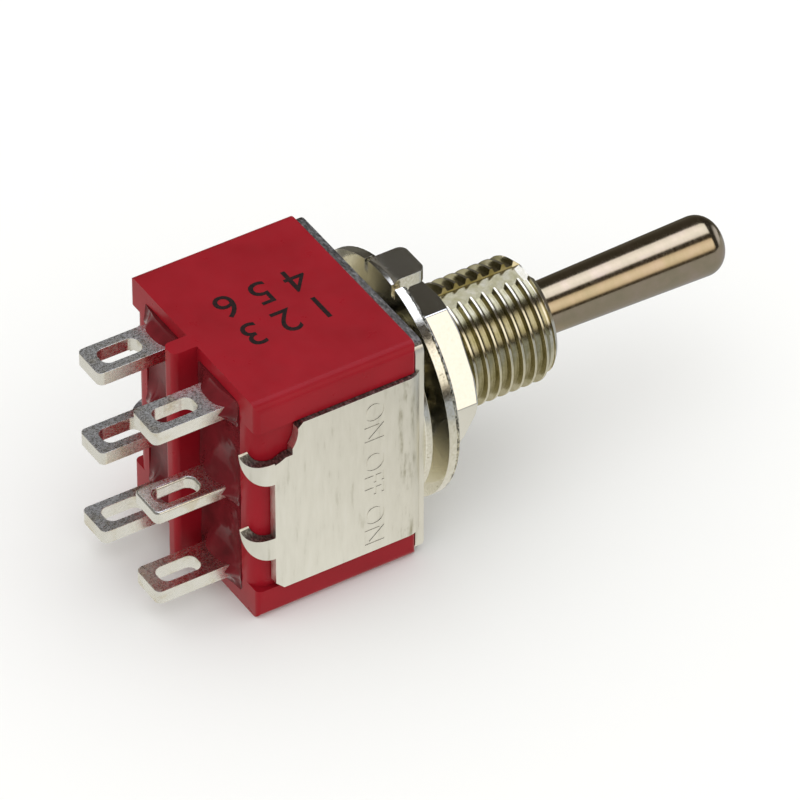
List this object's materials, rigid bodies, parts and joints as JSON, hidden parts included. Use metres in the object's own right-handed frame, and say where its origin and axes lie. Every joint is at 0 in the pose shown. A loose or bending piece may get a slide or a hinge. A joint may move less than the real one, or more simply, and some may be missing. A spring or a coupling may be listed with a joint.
{
  "type": "panel toggle switch",
  "caption": "Sub-miniature two-pole toggle switch with solder lugs, a threaded bushing for a panel hole, nut, washers and a lever that stands in a centre position.",
  "frame": {"origin": "on the bushing's axis, in the front face of the bracket, where the panel side begins", "axes": "-Y along the bushing and the lever at its centre position, out of the panel towards the user; +Z along the throw of the lever, on the keyway's side; X across the two poles"},
  "size_m": [0.012, 0.0321, 0.0126],
  "materials": {
    "case_red": "satin moulded",
    "seal_resin": "glossy",
    "fibre": "dull",
    "plated_steel": "satin plated",
    "nickel_brass": "bright nickel plate",
    "bright_nickel": "bright nickel plate",
    "lever_nickel": "polished nickel plate",
    "tinned_lug": "tinned",
    "nylon": "moulded",
    "plunger_steel": "polished",
    "spring_steel": "bright wire",
    "contact_silver": "silver plated"
  },
  "bodies": {
    "switch_body": {"case": "case_red", "insulator": "fibre", "bracket": "plated_steel", "bushing": "nickel_brass", "terminal_1": "tinned_lug", "terminal_2": "tinned_lug", "terminal_3": "tinned_lug", "terminal_4": "tinned_lug", "terminal_5": "tinned_lug", "terminal_6": "tinned_lug", "terminal_seal_1": "seal_resin", "terminal_seal_2": "seal_resin", "lock_washer": "bright_nickel", "locking_ring": "bright_nickel", "hex_nut": "bright_nickel"},
    "lever": {"lever": "lever_nickel", "actuator": "nylon", "plunger_spring_1": "spring_steel", "plunger_spring_2": "spring_steel"},
    "plunger_1": {"plunger_1": "plunger_steel"},
    "plunger_2": {"plunger_2": "plunger_steel"},
    "rocker_1": {"rocker_1": "contact_silver"},
    "rocker_2": {"rocker_2": "contact_silver"}
  },
  "joints": [
    {"name": "lever_swing", "type": "hinge", "parent": "switch_body", "child": "lever", "pos_m": [0, -0.0046, 0], "axis": [1, 0, 0], "range_deg": [-12.5, 12.5]},
    {"name": "plunger_slide_1", "type": "slide", "parent": "lever", "child": "plunger_1", "axis": [0, -1, 0], "range_m": [0, 0.00035], "stiffness_N_per_m": 20, "springref_m": -0.0002, "deforming": ["plunger_spring_1"]},
    {"name": "plunger_slide_2", "type": "slide", "parent": "lever", "child": "plunger_2", "axis": [0, -1, 0], "range_m": [0, 0.00035], "stiffness_N_per_m": 20, "springref_m": -0.0002, "deforming": ["plunger_spring_2"]},
    {"name": "rocker_tilt_1", "type": "hinge", "parent": "switch_body", "child": "rocker_1", "pos_m": [-0.00242, 0.00595, 0], "axis": [1, 0, 0], "range_deg": [-4.5, 4.5]},
    {"name": "rocker_tilt_2", "type": "hinge", "parent": "switch_body", "child": "rocker_2", "pos_m": [0.00242, 0.00595, 0], "axis": [1, 0, 0], "range_deg": [-4.5, 4.5]}
  ],
  "couplings": [
    {"joint": "rocker_tilt_1", "follows": "lever_swing", "ratio": -0.36},
    {"joint": "rocker_tilt_2", "follows": "lever_swing", "ratio": -0.36}
  ]
}
